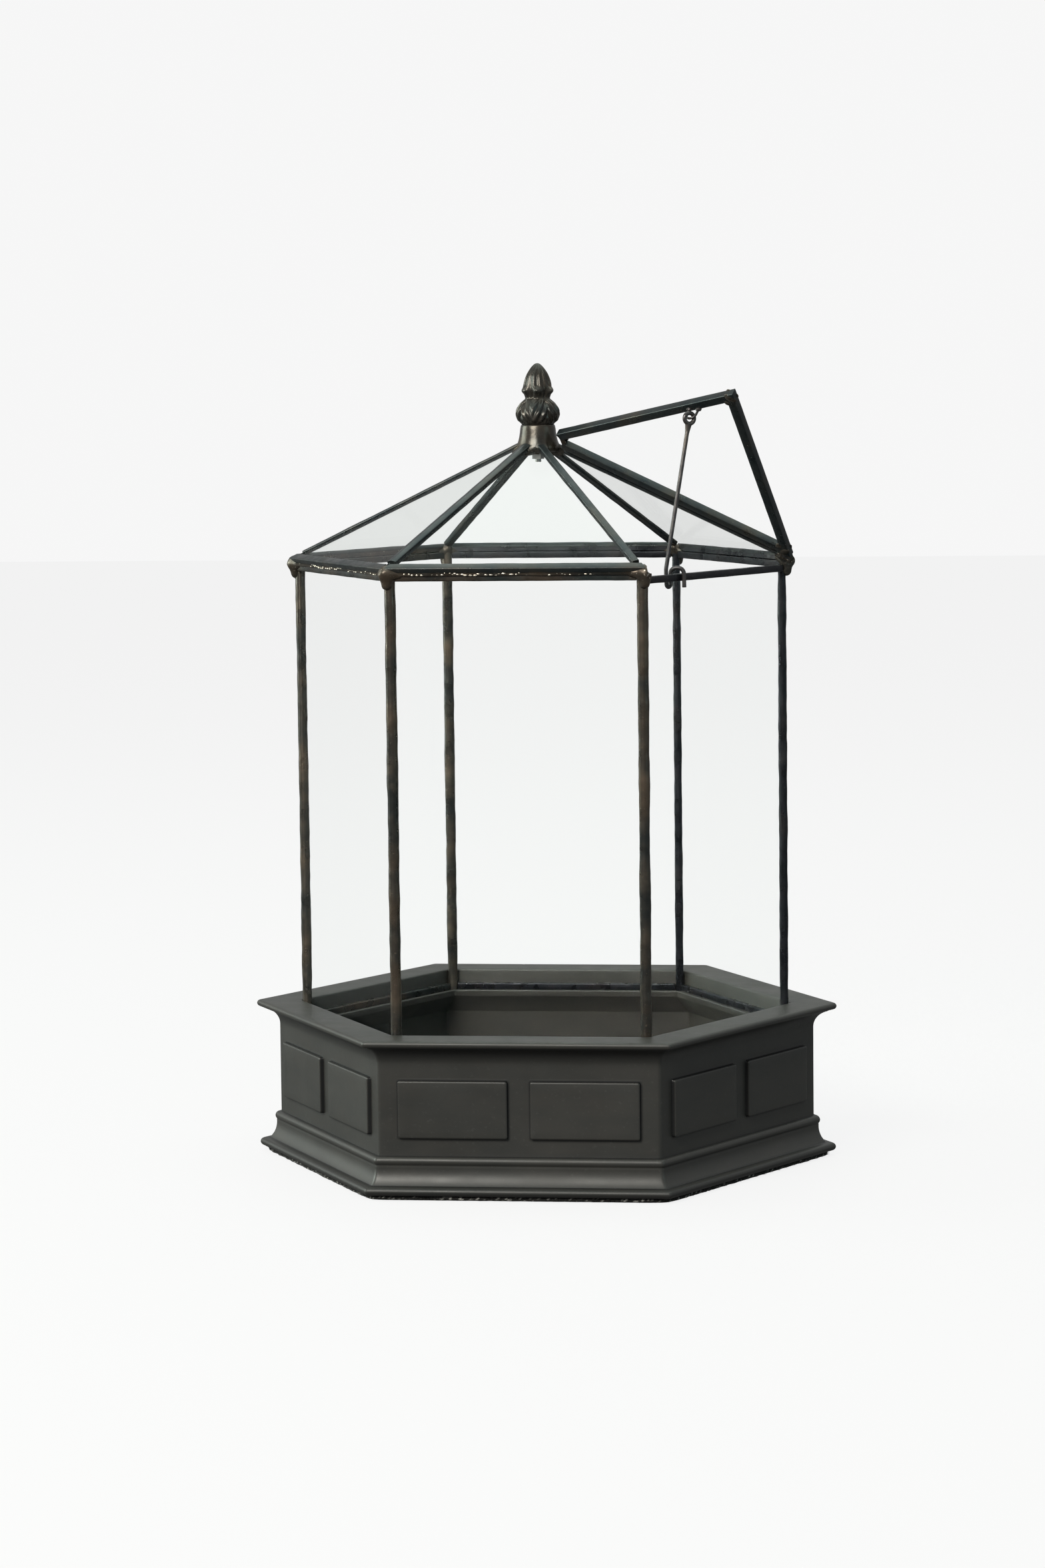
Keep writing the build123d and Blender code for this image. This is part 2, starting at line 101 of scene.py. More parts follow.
def rounded(points, radius, steps=3):
    """A closed outline with its corners rounded: (x, y, wear), where wear is 1 on the corners."""
    out = []
    count = len(points)
    for i, (x, y) in enumerate(points):
        p = Vector((x, y))
        before = Vector(points[i - 1]) - p
        after = Vector(points[(i + 1) % count]) - p
        size = min(radius, 0.45 * before.length, 0.45 * after.length)
        a = p + before.normalized() * size
        b = p + after.normalized() * size
        for k in range(steps + 1):
            u = k / steps
            q = a * (1 - u) ** 2 + p * 2 * u * (1 - u) + b * u**2
            out.append((q.x, q.y, 1 - abs(2 * u - 1) * 0.8))
        if after.length > 4 * size:
            q = p + after / 2
            out.append((q.x, q.y, 0.0))
    return out


def mesh_object(name, verts, faces, marks, sharp):
    """A smooth-shaded object from points in millimetres, with one mark per point for its material."""
    mesh = bpy.data.meshes.new(name)
    mesh.from_pydata([Vector(v) * 0.001 for v in verts], [], faces)
    mesh.validate()
    for polygon in mesh.polygons:
        polygon.use_smooth = True
    mesh.set_sharp_from_angle(angle=radians(sharp))
    attribute = mesh.attributes.new("mark", "FLOAT", "POINT")
    attribute.data.foreach_set("value", marks)
    obj = bpy.data.objects.new(name, mesh)
    bpy.context.scene.collection.objects.link(obj)
    return obj


def add_piece(name, data, body, slot, look, *nodes, sharp=40.0):
    """A piece of the visual model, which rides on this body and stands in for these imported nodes."""
    obj = mesh_object(name, *data, sharp)
    obj.data.materials.append(look)
    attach(obj, body)
    if nodes:
        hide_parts(*nodes)


def skin(rows, count):
    """Faces between closed rows of this many points."""
    faces = []
    for i in range(rows - 1):
        for k in range(count):
            a = i * count + k
            b = i * count + (k + 1) % count
            faces.append((a, b, b + count, a + count))
    return faces


def tube(rings, ring_of):
    """A skin over rings, closed at both ends. ring_of(i) gives a ring's points and marks."""
    verts, marks = [], []
    count = 0
    for i in range(rings):
        ring, ring_marks = ring_of(i)
        count = len(ring)
        verts += ring
        marks += ring_marks
    faces = skin(rings, count)
    faces.append(tuple(reversed(range(count))))
    faces.append(tuple(range((rings - 1) * count, rings * count)))
    return verts, faces, marks


def kept_mark(value):
    """A mark for worn metal. Marks over 0.93 are bare metal, which only the specks have."""
    return min(0.9, max(0.0, value))


def spread(index, step):
    """Evenly scattered values from 0 to 1, one for each index, without a random draw."""
    return index * step % 1.0


def bar(start, end, up, section, lump=0.2, seed=0.0, shear=(0.0, 0.0), step=2.6):
    """A hand-worked bar: section swept from start to end with small lumps. shear slants its ends."""
    start, end = Vector(start), Vector(end)
    along = (end - start).normalized()
    y_dir = (Vector(up) - along * Vector(up).dot(along)).normalized()
    x_dir = y_dir.cross(along)
    length = (end - start).length
    rings = max(3, int(length / step))

    def ring_of(i):
        share = i / (rings - 1)
        ring, marks = [], []
        for x, y, wear in section:
            low = shear[0] * x
            high = length + shear[1] * x
            s = low + (high - low) * share
            p = start + along * s + x_dir * x + y_dir * y
            reach = hypot(x, y)
            swell = lump * (grain(p, 24, seed) + 0.8 * grain(p, 9, seed + 3) + 0.25 * grain(p, 4, seed))
            if reach > 1e-6:
                p += (x_dir * x + y_dir * y) / reach * swell
            ring.append(p)
            marks.append(kept_mark(0.7 * wear + 0.4 * swell / max(lump, 0.01) - 0.1))
        return ring, marks

    return tube(rings, ring_of)


def wire(path, radius, sides=12, lump=0.03, seed=0.0):
    """A round wire along close points."""
    path = [Vector(p) for p in path]
    frames = []
    last = None
    for i, p in enumerate(path):
        ahead = path[min(i + 1, len(path) - 1)] - path[max(i - 1, 0)]
        along = ahead.normalized()
        if last is None:
            side = along.orthogonal().normalized()
        else:
            side = (last - along * last.dot(along)).normalized()
        last = side
        frames.append((p, side, along.cross(side)))

    def ring_of(i):
        p, a, b = frames[i]
        ring, marks = [], []
        for k in range(sides):
            angle = 2 * pi * k / sides
            direction = a * cos(angle) + b * sin(angle)
            swell = lump * (grain(p + direction * radius, 3, seed) + grain(p + direction * radius, 9, seed))
            ring.append(p + direction * (radius + swell))
            marks.append(kept_mark(0.4 + 6 * swell))
        return ring, marks

    return tube(len(path), ring_of)


def smooth_path(points, radii, spacing=0.6):
    """Straight runs with round corners of these radii, as close points."""
    points = [Vector(p) for p in points]
    out = [points[0]]
    for i in range(1, len(points) - 1):
        p = points[i]
        before = (points[i - 1] - p).normalized()
        after = (points[i + 1] - p).normalized()
        half = acos(max(-1, min(1, before.dot(after)))) / 2
        size = radii[i - 1] / tan(half)
        centre = p + (before + after).normalized() * (radii[i - 1] / sin(half))
        a = p + before * size - centre
        b = p + after * size - centre
        turn = acos(max(-1, min(1, a.dot(b) / (a.length * b.length))))
        steps = max(2, int(turn * radii[i - 1] / spacing))
        for k in range(steps + 1):
            u = k / steps
            out.append(centre + (a * sin((1 - u) * turn) + b * sin(u * turn)) / sin(turn))
    out.append(points[-1])
    dense = [out[0]]
    for p in out[1:]:
        gap = (p - dense[-1]).length
        pieces = max(1, int(ceil(gap / 3.0)))
        first = dense[-1]
        dense += [first.lerp(p, (k + 1) / pieces) for k in range(pieces)]
    return dense


def lathe(profile, shape, turns=96):
    """Points (radius, height) turned about the axis.

    shape(angle, height, radius) gives what is added to the radius, and the mark.
    """

    def ring_of(i):
        radius, height = profile[i]
        ring, marks = [], []
        for k in range(turns):
            angle = 2 * pi * k / turns
            extra, mark = shape(angle, height, radius)
            r = max(0.02, radius + extra)
            ring.append(Vector((r * cos(angle), r * sin(angle), height)))
            marks.append(mark)
        return ring, marks

    return tube(len(profile), ring_of)


def refined(profile, spacing):
    """A profile through these points with a smooth curve, at an even spacing."""
    out = []
    for i in range(len(profile) - 1):
        p0 = Vector(profile[max(i - 1, 0)])
        p1 = Vector(profile[i])
        p2 = Vector(profile[i + 1])
        p3 = Vector(profile[min(i + 2, len(profile) - 1)])
        steps = max(1, int((p2 - p1).length / spacing))
        for k in range(steps):
            u = k / steps
            bend = 2 * p0 - 5 * p1 + 4 * p2 - p3
            twist = 3 * p1 - p0 - 3 * p2 + p3
            q = 0.5 * (2 * p1 + (p2 - p0) * u + bend * u**2 + twist * u**3)
            out.append((q.x, q.y))
    out.append(tuple(profile[-1]))
    return out


def join(*parts):
    """Several (verts, faces, marks) as one."""
    verts, faces, marks = [], [], []
    for part_verts, part_faces, part_marks in parts:
        base = len(verts)
        verts += part_verts
        faces += [tuple(i + base for i in f) for f in part_faces]
        marks += part_marks
    return verts, faces, marks


def ball(rings, turns, surface):
    """A closed skin round a point. surface(direction) gives the point that way, and its mark."""

    def ring_of(i):
        polar = pi * min(max(i, 0.02), rings - 1.02) / (rings - 1)
        ring, marks = [], []
        for k in range(turns):
            angle = 2 * pi * k / turns
            point, mark = surface(Vector((sin(polar) * cos(angle), sin(polar) * sin(angle), cos(polar))))
            ring.append(point)
            marks.append(mark)
        return ring, marks

    return tube(rings, ring_of)


def lump_ball(centre, radius, stretch=(1, 1, 1), seed=0.0, rough=0.16):
    """A knob of solder."""
    rings, turns = (22, 32) if radius > 0.9 else (8, 10)
    centre = Vector(centre)

    def surface(d):
        spot = d * radius
        swell = rough * (grain(spot, radius * 0.8, seed) + 0.5 * grain(spot, radius * 0.35, seed + 5))
        q = Vector((d.x * stretch[0], d.y * stretch[1], d.z * stretch[2])) * radius * (1 + swell)
        return centre + q, kept_mark(0.35 + 2.5 * swell)

    return ball(rings, turns, surface)


# -------------------- materials
def maths(tree, kind, *values):
    """A maths node in this tree, fed by numbers or by other nodes' sockets."""
    node = tree.nodes.new("ShaderNodeMath")
    node.operation = kind
    for socket, value in zip(node.inputs, values):
        if isinstance(value, (int, float)):
            socket.default_value = value
        else:
            tree.links.new(value, socket)
    return node.outputs[0]


class Look:
    """A node material put together step by step."""

    def __init__(self, name, metallic=0.0):
        self.material = bpy.data.materials.new(name)
        self.material.use_nodes = True
        self.nodes = self.material.node_tree.nodes
        self.links = self.material.node_tree.links
        self.shader = self.nodes["Principled BSDF"]
        self.shader.inputs["Metallic"].default_value = metallic
        self.place = self.nodes.new("ShaderNodeTexCoord").outputs["Object"]

    def noise(self, scale, detail=4.0, roughness=0.55, stretch=None):
        node = self.nodes.new("ShaderNodeTexNoise")
        node.inputs["Scale"].default_value = scale
        node.inputs["Detail"].default_value = detail
        node.inputs["Roughness"].default_value = roughness
        source = self.place
        if stretch:
            mapping = self.nodes.new("ShaderNodeMapping")
            mapping.inputs["Scale"].default_value = stretch
            self.links.new(source, mapping.inputs["Vector"])
            source = mapping.outputs["Vector"]
        self.links.new(source, node.inputs["Vector"])
        return node.outputs["Fac"]

    def ramp(self, value, *stops):
        node = self.nodes.new("ShaderNodeValToRGB")
        elements = node.color_ramp.elements
        while len(elements) < len(stops):
            elements.new(0.5)
        for element, (position, colour) in zip(elements, stops):
            element.position = position
            element.color = (*colour, 1) if isinstance(colour, tuple) else (colour, colour, colour, 1)
        self.links.new(value, node.inputs["Fac"])
        return node.outputs["Color"]

    def mix(self, factor, a, b):
        node = self.nodes.new("ShaderNodeMix")
        node.data_type = "RGBA"
        for socket, value in ((node.inputs[0], factor), (node.inputs[6], a), (node.inputs[7], b)):
            if isinstance(value, (int, float)):
                socket.default_value = value
            elif isinstance(value, tuple):
                socket.default_value = (*value, 1)
            else:
                self.links.new(value, socket)
        return node.outputs[2]

    def times(self, a, b):
        return maths(self.material.node_tree, "MULTIPLY", a, b)

    def mark(self):
        node = self.nodes.new("ShaderNodeAttribute")
        node.attribute_name = "mark"
        return node.outputs["Fac"]

    def bump(self, height, strength, distance, normal=None):
        node = self.nodes.new("ShaderNodeBump")
        node.inputs["Strength"].default_value = strength
        node.inputs["Distance"].default_value = distance
        self.links.new(height, node.inputs["Height"])
        if normal:
            self.links.new(normal, node.inputs["Normal"])
        return node.outputs["Normal"]

    def connect(self, name, value):
        self.links.new(value, self.shader.inputs[name])


def patina(name, dark, middle, light, glow, rough=(0.24, 0.42), metallic=0.7, wear=0.35, speck=0.25):
    """Aged metal: patches from dark to light, and a glow where it is rubbed and in a few bright specks."""
    look = Look(name, metallic)
    patches = look.ramp(look.noise(38, 3, 0.5), (0.36, dark), (0.52, middle), (0.68, light))
    rubbed = look.times(look.mark(), look.ramp(look.noise(120, 2), (0.42, 0.0), (0.66, 1.0)))
    colour = look.mix(look.times(rubbed, wear), patches, glow)
    specks = look.ramp(look.noise(620, 1, 0.4), (0.70, 0.0), (0.76, 1.0))
    colour = look.mix(look.times(specks, speck), colour, glow)
    bright = look.ramp(look.mark(), (0.93, 0.0), (0.99, 1.0))
    colour = look.mix(bright, colour, tuple(min(1.0, c * 1.5) for c in glow))
    look.connect("Base Color", colour)
    look.connect("Roughness", look.ramp(look.noise(90, 3), (0.35, rough[1]), (0.65, rough[0])))
    fine = look.bump(look.noise(900, 2), 0.10, 0.0002)
    look.connect("Normal", look.bump(look.noise(200, 3), 0.22, 0.0006, fine))
    return look.material


came_look = patina(
    "came_patina",
    (0.020, 0.026, 0.026), (0.034, 0.033, 0.030), (0.052, 0.040, 0.030), (0.16, 0.13, 0.10),
)
# the came patina painted darker: painted shade for the bars, posts and seams at the back and the bars on the
# door's side
shaded_came_look = patina(
    "shaded_came_patina",
    (0.008, 0.010, 0.013), (0.013, 0.014, 0.018), (0.020, 0.018, 0.020), (0.09, 0.09, 0.09),
)
roof_look = patina(
    "roof_came_patina",
    (0.016, 0.022, 0.025), (0.026, 0.031, 0.032), (0.040, 0.038, 0.034), (0.13, 0.13, 0.12),
)
post_look = patina(
    "post_patina",
    (0.026, 0.028, 0.027), (0.052, 0.045, 0.037), (0.085, 0.064, 0.047), (0.24, 0.19, 0.14),
)
solder_look = patina(
    "solder_patina",
    (0.024, 0.025, 0.023), (0.044, 0.037, 0.030), (0.072, 0.053, 0.038), (0.52, 0.47, 0.40),
    wear=0.28, speck=0.7,
)
door_look = patina(
    "door_came_patina",
    (0.017, 0.025, 0.029), (0.027, 0.033, 0.035), (0.045, 0.041, 0.034), (0.15, 0.15, 0.13),
)
finial_look = patina(
    "finial_patina",
    (0.020, 0.023, 0.023), (0.036, 0.033, 0.028), (0.060, 0.046, 0.032), (0.17, 0.15, 0.13),
    rough=(0.22, 0.36), wear=0.5, speck=0.1,
)
wire_look = patina(
    "wire_patina",
    (0.042, 0.040, 0.042), (0.058, 0.052, 0.052), (0.080, 0.068, 0.060), (0.24, 0.22, 0.20),
)
steel_look = patina(
    "plain_steel",
    (0.20, 0.20, 0.20), (0.30, 0.30, 0.29), (0.42, 0.41, 0.40), (0.6, 0.6, 0.58),
    rough=(0.25, 0.4), metallic=1.0,
)


def paint_material():
    """Satin charcoal paint: faint clouds and streaks, dust, fine orange peel, and painted shade, near black,
    where it is marked.
    """
    look = Look("charcoal_paint")
    clouds = look.ramp(look.noise(9, 4), (0.3, (0.017, 0.0175, 0.016)), (0.7, (0.027, 0.0255, 0.0225)))
    long_noise = look.noise(30, 5, 0.6, (1, 1, 3))
    streaks = look.ramp(long_noise, (0.35, (0.020, 0.021, 0.020)), (0.7, (0.030, 0.028, 0.025)))
    colour = look.mix(0.45, clouds, streaks)
    dust = look.ramp(look.noise(420, 3), (0.62, 0.0), (0.75, 1.0))
    colour = look.mix(look.times(dust, 0.10), colour, (0.11, 0.11, 0.105))
    # painted shade: the marked creases, cove, foot and panel edges go near black
    look.connect("Base Color", look.mix(look.mark(), colour, (0.0035, 0.004, 0.0045)))
    look.connect("Roughness", look.ramp(look.noise(24, 5), (0.3, 0.36), (0.7, 0.50)))
    look.shader.inputs["Specular IOR Level"].default_value = 0.42
    fine = look.bump(look.noise(1100, 2), 0.10, 0.0002)
    look.connect("Normal", look.bump(look.noise(60, 3), 0.10, 0.0012, fine))
    return look.material


def felt_material():
    """Black felt, with pale fibres where it is marked."""
    look = Look("black_felt")
    fuzz = look.ramp(look.noise(1300, 4, 0.7), (0.4, (0.004, 0.004, 0.004)), (0.7, (0.022, 0.021, 0.020)))
    look.connect("Base Color", look.mix(look.mark(), fuzz, (0.34, 0.33, 0.31)))
    look.shader.inputs["Roughness"].default_value = 0.95
    look.shader.inputs["Specular IOR Level"].default_value = 0.15
    look.shader.inputs["Sheen Weight"].default_value = 0.1
    look.connect("Normal", look.bump(look.noise(900, 4), 0.9, 0.0012))
    return look.material


def glass_material(name, colour, ripple):
    """Clear sheet glass, slightly uneven, that lamps shine straight through.

    It bends light less than real glass does, because a pane seen at a grazing angle would mirror the dim
    world instead of the bright room of the photograph.
    """
    look = Look(name)
    paler = tuple(c**0.8 for c in colour)
    look.connect("Base Color", look.ramp(look.noise(5, 2), (0.3, colour), (0.7, paler)))
    look.shader.inputs["Transmission Weight"].default_value = 1.0
    look.connect("Roughness", look.ramp(look.noise(9, 2), (0.3, 0.0), (0.7, 0.014)))
    look.shader.inputs["IOR"].default_value = 1.06
    look.connect("Normal", look.bump(look.noise(14, 1), ripple, 0.0008))
    clear = look.nodes.new("ShaderNodeBsdfTransparent")
    clear.inputs["Color"].default_value = (*colour, 1)
    lamp = look.nodes.new("ShaderNodeLightPath").outputs["Is Shadow Ray"]
    mixer = look.nodes.new("ShaderNodeMixShader")
    look.links.new(lamp, mixer.inputs[0])
    look.links.new(look.shader.outputs["BSDF"], mixer.inputs[1])
    look.links.new(clear.outputs["BSDF"], mixer.inputs[2])
    look.links.new(mixer.outputs["Shader"], look.nodes["Material Output"].inputs["Surface"])
    return look.material


paint_look = paint_material()
felt_look = felt_material()
wall_glass = glass_material("wall_glass", (0.992, 0.998, 0.994), 0.03)
roof_glass = glass_material("roof_glass", (0.980, 0.997, 0.984), 0.05)


# -------------------- base
def hex_loop(apothem, radius, steps=6):
    """A hexagon with rounded corners, anticlockwise, with points close to the corners on each side."""
    out = []
    for k in range(6):
        reach = (apothem - radius) / cos(radians(30))
        centre = plan(60 * k) * reach
        for i in range(steps + 1):
            angle = 60 * k - 30 + 60 * i / steps
            out.append(centre + plan(angle) * radius)
        start = out[-1]
        following = plan(60 * (k + 1)) * reach + plan(60 * k + 30) * radius
        for share in (0.012, 0.03, 0.12, 0.5, 0.88, 0.97, 0.988):
            out.append(start.lerp(following, share))
    return out


def arc(points, a, middle, b, steps=8):
    """Adds a circular arc through three profile points."""
    a, middle, b = Vector(a), Vector(middle), Vector(b)
    corners = ((a, middle, b), (middle, b, a), (b, a, middle))
    double_area = 2 * sum(p.x * (q.y - r.y) for p, q, r in corners)
    ux = sum(p.length_squared * (q.y - r.y) for p, q, r in corners) / double_area
    uy = sum(p.length_squared * (r.x - q.x) for p, q, r in corners) / double_area
    centre = Vector((ux, uy))
    start = atan2(a.y - uy, a.x - ux)
    via = atan2(middle.y - uy, middle.x - ux)
    stop = atan2(b.y - uy, b.x - ux)
    turn = (stop - start) % (2 * pi)
    if (via - start) % (2 * pi) > turn:
        turn -= 2 * pi
    radius = (a - centre).length
    for i in range(steps + 1):
        angle = start + turn * i / steps
        points.append((ux + radius * cos(angle), uy + radius * sin(angle)))


profile = [(152.0, FELT_THICKNESS), (167.6, FELT_THICKNESS)]  # (apothem, height) from the foot, up and in
arc(profile, (168.3, 3.05), (171.0, 5.75), (168.4, 8.4), 12)
profile += [(166.2, 8.6), (165.1, 8.75)]
arc(profile, (164.9, 9.0), (162.0, 14.2), (161.1, 21.0), 10)
profile += [(161.0, 21.5)]
arc(profile, (161.1, 21.8), (161.9, 24.5), (160.3, 26.8), 8)
profile += [(159.0, 27.1), (158.3, 27.3)]
profile += [(BASE_WALL, height) for height in (28.2, 30.5, 57.0, 84.0)]
arc(profile, (BASE_WALL, 87.5), (160.9, 94.8), (166.6, 98.3), 12)
profile += [(167.0, 98.9), (167.3, 99.45)]
arc(profile, (169.3, 99.5), (171.7, 101.75), (169.45, 104.0), 12)
profile += [(165.0, 104.0), (150.0, 104.0), (146.3, 104.0)]
arc(profile, (145.8, 103.9), (145.05, 103.6), (144.75, 102.8), 4)
profile += [(144.75, 96.0), (144.75, 90.2), (144.5, LEDGE), (137.6, LEDGE)]
arc(profile, (137.3, 89.9), (137.05, 89.7), (137.0, 89.2), 3)
profile += [(137.0, 86.2), (137.3, 85.6), (149.8, 73.3), (150.0, 72.5), (150.0, 40.0), (150.0, 9.8)]
profile += [(149.3, BASE_FLOOR), (147.5, BASE_FLOOR), (120.0, BASE_FLOOR)]

SHADE_CREASES = ((165.6, 8.7, 0.95), (158.9, 27.3, 0.9), (167.1, 99.2, 0.8))  # apothem, height, depth of the painted shade in each crease


def painted_shade_at(apothem, height):
    """How much painted shade the paint takes: near black in the creases, and painted shade in the cove under
    the rim and on the lower half of the foot.
    """
    value = 0.0
    for a, z, amount in SHADE_CREASES:
        value = max(value, amount * exp(-((apothem - a) ** 2 + (height - z) ** 2) / 0.9))
    if apothem > 157.5:
        # painted shade in the cove under the rim and on the lower half of the foot
        value = max(value, 0.42 * max(0.0, min(1.0, (height - 91.0) / 7)) * (height < 99.0))
        value = max(value, 0.40 * (height < 8.2))
    return value


def base_mesh():
    """The moulding, from its underside round the outside and down to the floor of the tray."""
    verts, marks = [], []
    count = 0
    for apothem, height in profile:
        radius = 2.6 if apothem > 163 else 3.4
        loop = hex_loop(apothem, radius)
        count = len(loop)
        for p in loop:
            sag = 0.14 * grain((p.x, p.y, height), 55) + 0.05 * grain((p.x, p.y, height), 18)
            out = Vector((p.x, p.y, 0)).normalized()
            verts.append(Vector((p.x, p.y, height)) + out * sag)
            # painted shade in the creases, the cove under the rim and on the foot
            marks.append(painted_shade_at(apothem, height))
    rows = len(profile)
    faces = skin(rows, count)
    for height, last in ((BASE_FLOOR, True), (FELT_THICKNESS, False)):
        ring = [(rows - 1) * count + k for k in range(count)] if last else list(range(count))
        inner = len(verts)
        verts.append(Vector((0, 0, height)))
        marks.append(0.0)
        for k in range(count):
            a, b = ring[k], ring[(k + 1) % count]
            faces.append((a, b, inner) if last else (b, a, inner))
    return verts, faces, marks


def panel_mesh(side, centre_x):
    """One raised panel: painted shade in a narrow seam round it and on its steep edge, and a soft top."""
    width, height = PANEL_SIZE
    levels = (  # how far outside the outline, how high, how much painted shade
        (1.5, 0.00, 0.0),
        (0.55, 0.10, 0.55),
        (0.15, 0.12, 1.0),
        (0.0, 0.5, 1.0),
        (-0.1, 1.9, 0.75),
        (-0.25, 2.45, 0.2),
        (-0.6, 2.72, 0.0),
        (-1.4, 2.8, 0.0),
        (-6.0, 2.8, 0.0),
    )
    normal = plan(30 + 60 * side)
    sideways = plan(120 + 60 * side)
    verts, marks = [], []
    count = 0
    for offset, rise, mark in levels:
        half_w, half_h = width / 2 + offset, height / 2 + offset
        corner = max(0.5, 1.3 + offset * 0.5)
        ring = []
        for index, (sx, sy) in enumerate(((1, -1), (1, 1), (-1, 1), (-1, -1))):
            for k in range(5):
                angle = radians(-90 + 90 * index + 90 * k / 4)
                x = sx * (half_w - corner) + corner * cos(angle)
                y = sy * (half_h - corner) + corner * sin(angle)
                ring.append((x, y))
            nx, ny = ((1, 1), (-1, 1), (-1, -1), (1, -1))[index]
            a = ring[-1]
            b = (nx * (half_w - corner) + corner * cos(angle), ny * (half_h - corner) + corner * sin(angle))
            for share in (0.03, 0.25, 0.5, 0.75, 0.97):
                ring.append((a[0] + (b[0] - a[0]) * share, a[1] + (b[1] - a[1]) * share))
        count = len(ring)
        for x, y in ring:
            p = normal * (BASE_WALL + rise) + sideways * (centre_x + x) + Vector((0, 0, PANEL_MIDDLE + y))
            p += normal * 0.10 * grain(p, 22, 4) + normal * (0.14 * grain((p.x, p.y, p.z), 55))
            verts.append(p)
            # painted shade round the panel, in the seam and on its steep edge
            marks.append(mark)
    faces = skin(len(levels), count)
    faces.append(tuple((len(levels) - 1) * count + k for k in range(count)))
    return verts, faces, marks


base_parts = [base_mesh()]
for side in range(6):
    for centre_x in (-PANEL_OFFSET, PANEL_OFFSET):
        base_parts.append(panel_mesh(side, centre_x))
add_piece("base_moulding", join(*base_parts), "base", "base_moulding", paint_look, "base_shell", sharp=50)


FIBRES = 2600


def felt_mesh():
    """Cut felt with a torn edge: ragged rows round the foot, and loose fibres."""
    verts, marks = [], []
    loop = []
    corners = [plan(60 * k) * FELT_CORNER for k in range(6)]
    for k in range(6):
        a, b = corners[k], corners[(k + 1) % 6]
        for i in range(150):
            p = a.lerp(b, i / 150)
            pull = 1.0 - 0.012 * exp(-min(i, 150 - i) / 4)
            loop.append(p * pull)
    under = ((-5.0, 0.0), (-1.2, 0.0), (-0.2, 0.35), (0.15, 1.1))
    over = ((0.1, 1.9), (-0.4, 2.7), (-1.4, FELT_THICKNESS), (-6.0, FELT_THICKNESS))
    rows = under + over
    count = len(loop)
    for reach, height in rows:
        for p in loop:
            out = p.normalized()
            edge = exp(-((height - 1.5) ** 2) / 2.0) if reach > -4 else 0.0
            ragged = 1.3 * grain((p.x, p.y, height * 2), 7) + 0.8 * grain((p.x, p.y, height * 3), 2.4, 2)
            drop = 0.25 * grain((p.x, p.y, 9), 5, 3) * (1 if 0.1 < height < 2.9 else 0)
            verts.append(p + out * (reach + ragged * edge + 0.5) + Vector((0, 0, max(0.0, height + drop))))
            marks.append(max(0.0, min(1.0, 6 * (grain((p.x, p.y, height * 2), 1.8, 6) - 0.30))) * edge)
    faces = skin(len(rows), count)
    faces.append(tuple(reversed(range(count))))
    faces.append(tuple((len(rows) - 1) * count + k for k in range(count)))
    for i in range(FIBRES):
        p = loop[int(spread(i, 0.61803398875) * count)]
        out = p.normalized()
        along = Vector((-out.y, out.x, 0))
        height = 0.4 + 2.3 * spread(i, 0.7548776662)
        lean = 2 * spread(i, 0.5698402910) - 1
        length = 0.9 + 1.9 * spread(i, 0.2360679775)
        start = p - out * 0.3 + Vector((0, 0, height))
        fall = Vector((0, 0, 0.5 * spread(i, 0.4142135) - 0.35))
        tip = start + out * length + along * lean * 1.6 + fall
        tip.z = max(0.05, tip.z)
        b = len(verts)
        low = start - Vector((0, 0, 0.08))
        verts += [start + Vector((0, 0, 0.13)), low + along * 0.12, low - along * 0.12, tip]
        shade = 0.55 if i % 23 == 0 else 0.05
        marks += [shade] * 4
        faces += [(b, b + 1, b + 3), (b + 1, b + 2, b + 3), (b + 2, b, b + 3), (b, b + 2, b + 1)]
    return verts, faces, marks


add_piece("felt_sheet", felt_mesh(), "base", "felt", felt_look, "felt_pad", sharp=60)


# -------------------- glass house: wall
def box_outline(x, y):
    return [(-x, -y), (x, -y), (x, y), (-x, y)]


def glaze(node, look):
    """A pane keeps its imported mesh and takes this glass, or a stud or nut its metal."""
    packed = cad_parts[node]
    packed.data.materials.clear()
    packed.data.materials.append(look)


square_came = rounded(box_outline(WALL_BAR, WALL_BAR), 0.7)
for side, side_name in enumerate(SIDES):
    normal = plan(30 + 60 * side)
    sideways = plan(120 + 60 * side)
    top = WALL_TOP_DOOR if side == 5 else WALL_TOP
    for kind, height, lump in (("sill", LEDGE + WALL_BAR, 0.12), ("wall_top", top - WALL_BAR, 0.16)):
        middle = normal * WALL_PLANE + Vector((0, 0, height))
        half = sideways * WALL_BAR_HALF
        data = bar(middle - half, middle + half, (0, 0, 1), square_came, lump, side + 0.3)
        # painted shade: the two rear sides and the door's side take the darkened patina
        look = shaded_came_look if side in (0, 1, 5) else came_look
        add_piece(f"{kind}_bar_{side_name}", data, "glasshouse", "came", look, f"{kind}_came_{side_name}")
    glaze(f"wall_pane_{side_name}", wall_glass)

for corner, corner_name in enumerate(CORNERS):
    radius = SLIM_POST_RADIUS if corner in SLIM_POSTS else POST_RADIUS
    post_section = []
    for k in range(18):
        angle = 2 * pi * k / 18
        post_section.append((radius * cos(angle), radius * sin(angle), 0.35))
    foot = plan(60 * corner) * POST_CIRCLE + Vector((0, 0, LEDGE))
    head = plan(60 * corner) * POST_CIRCLE + Vector((0, 0, WALL_TOP))
    data = bar(foot, head, plan(60 * corner), post_section, 0.34, 7.0 + corner, step=2.0)
    # painted shade on the two slim rear posts
    look = shaded_came_look if corner in SLIM_POSTS else post_look
    add_piece(f"post_{corner_name}", data, "glasshouse", "came", look, f"corner_post_{corner_name}")


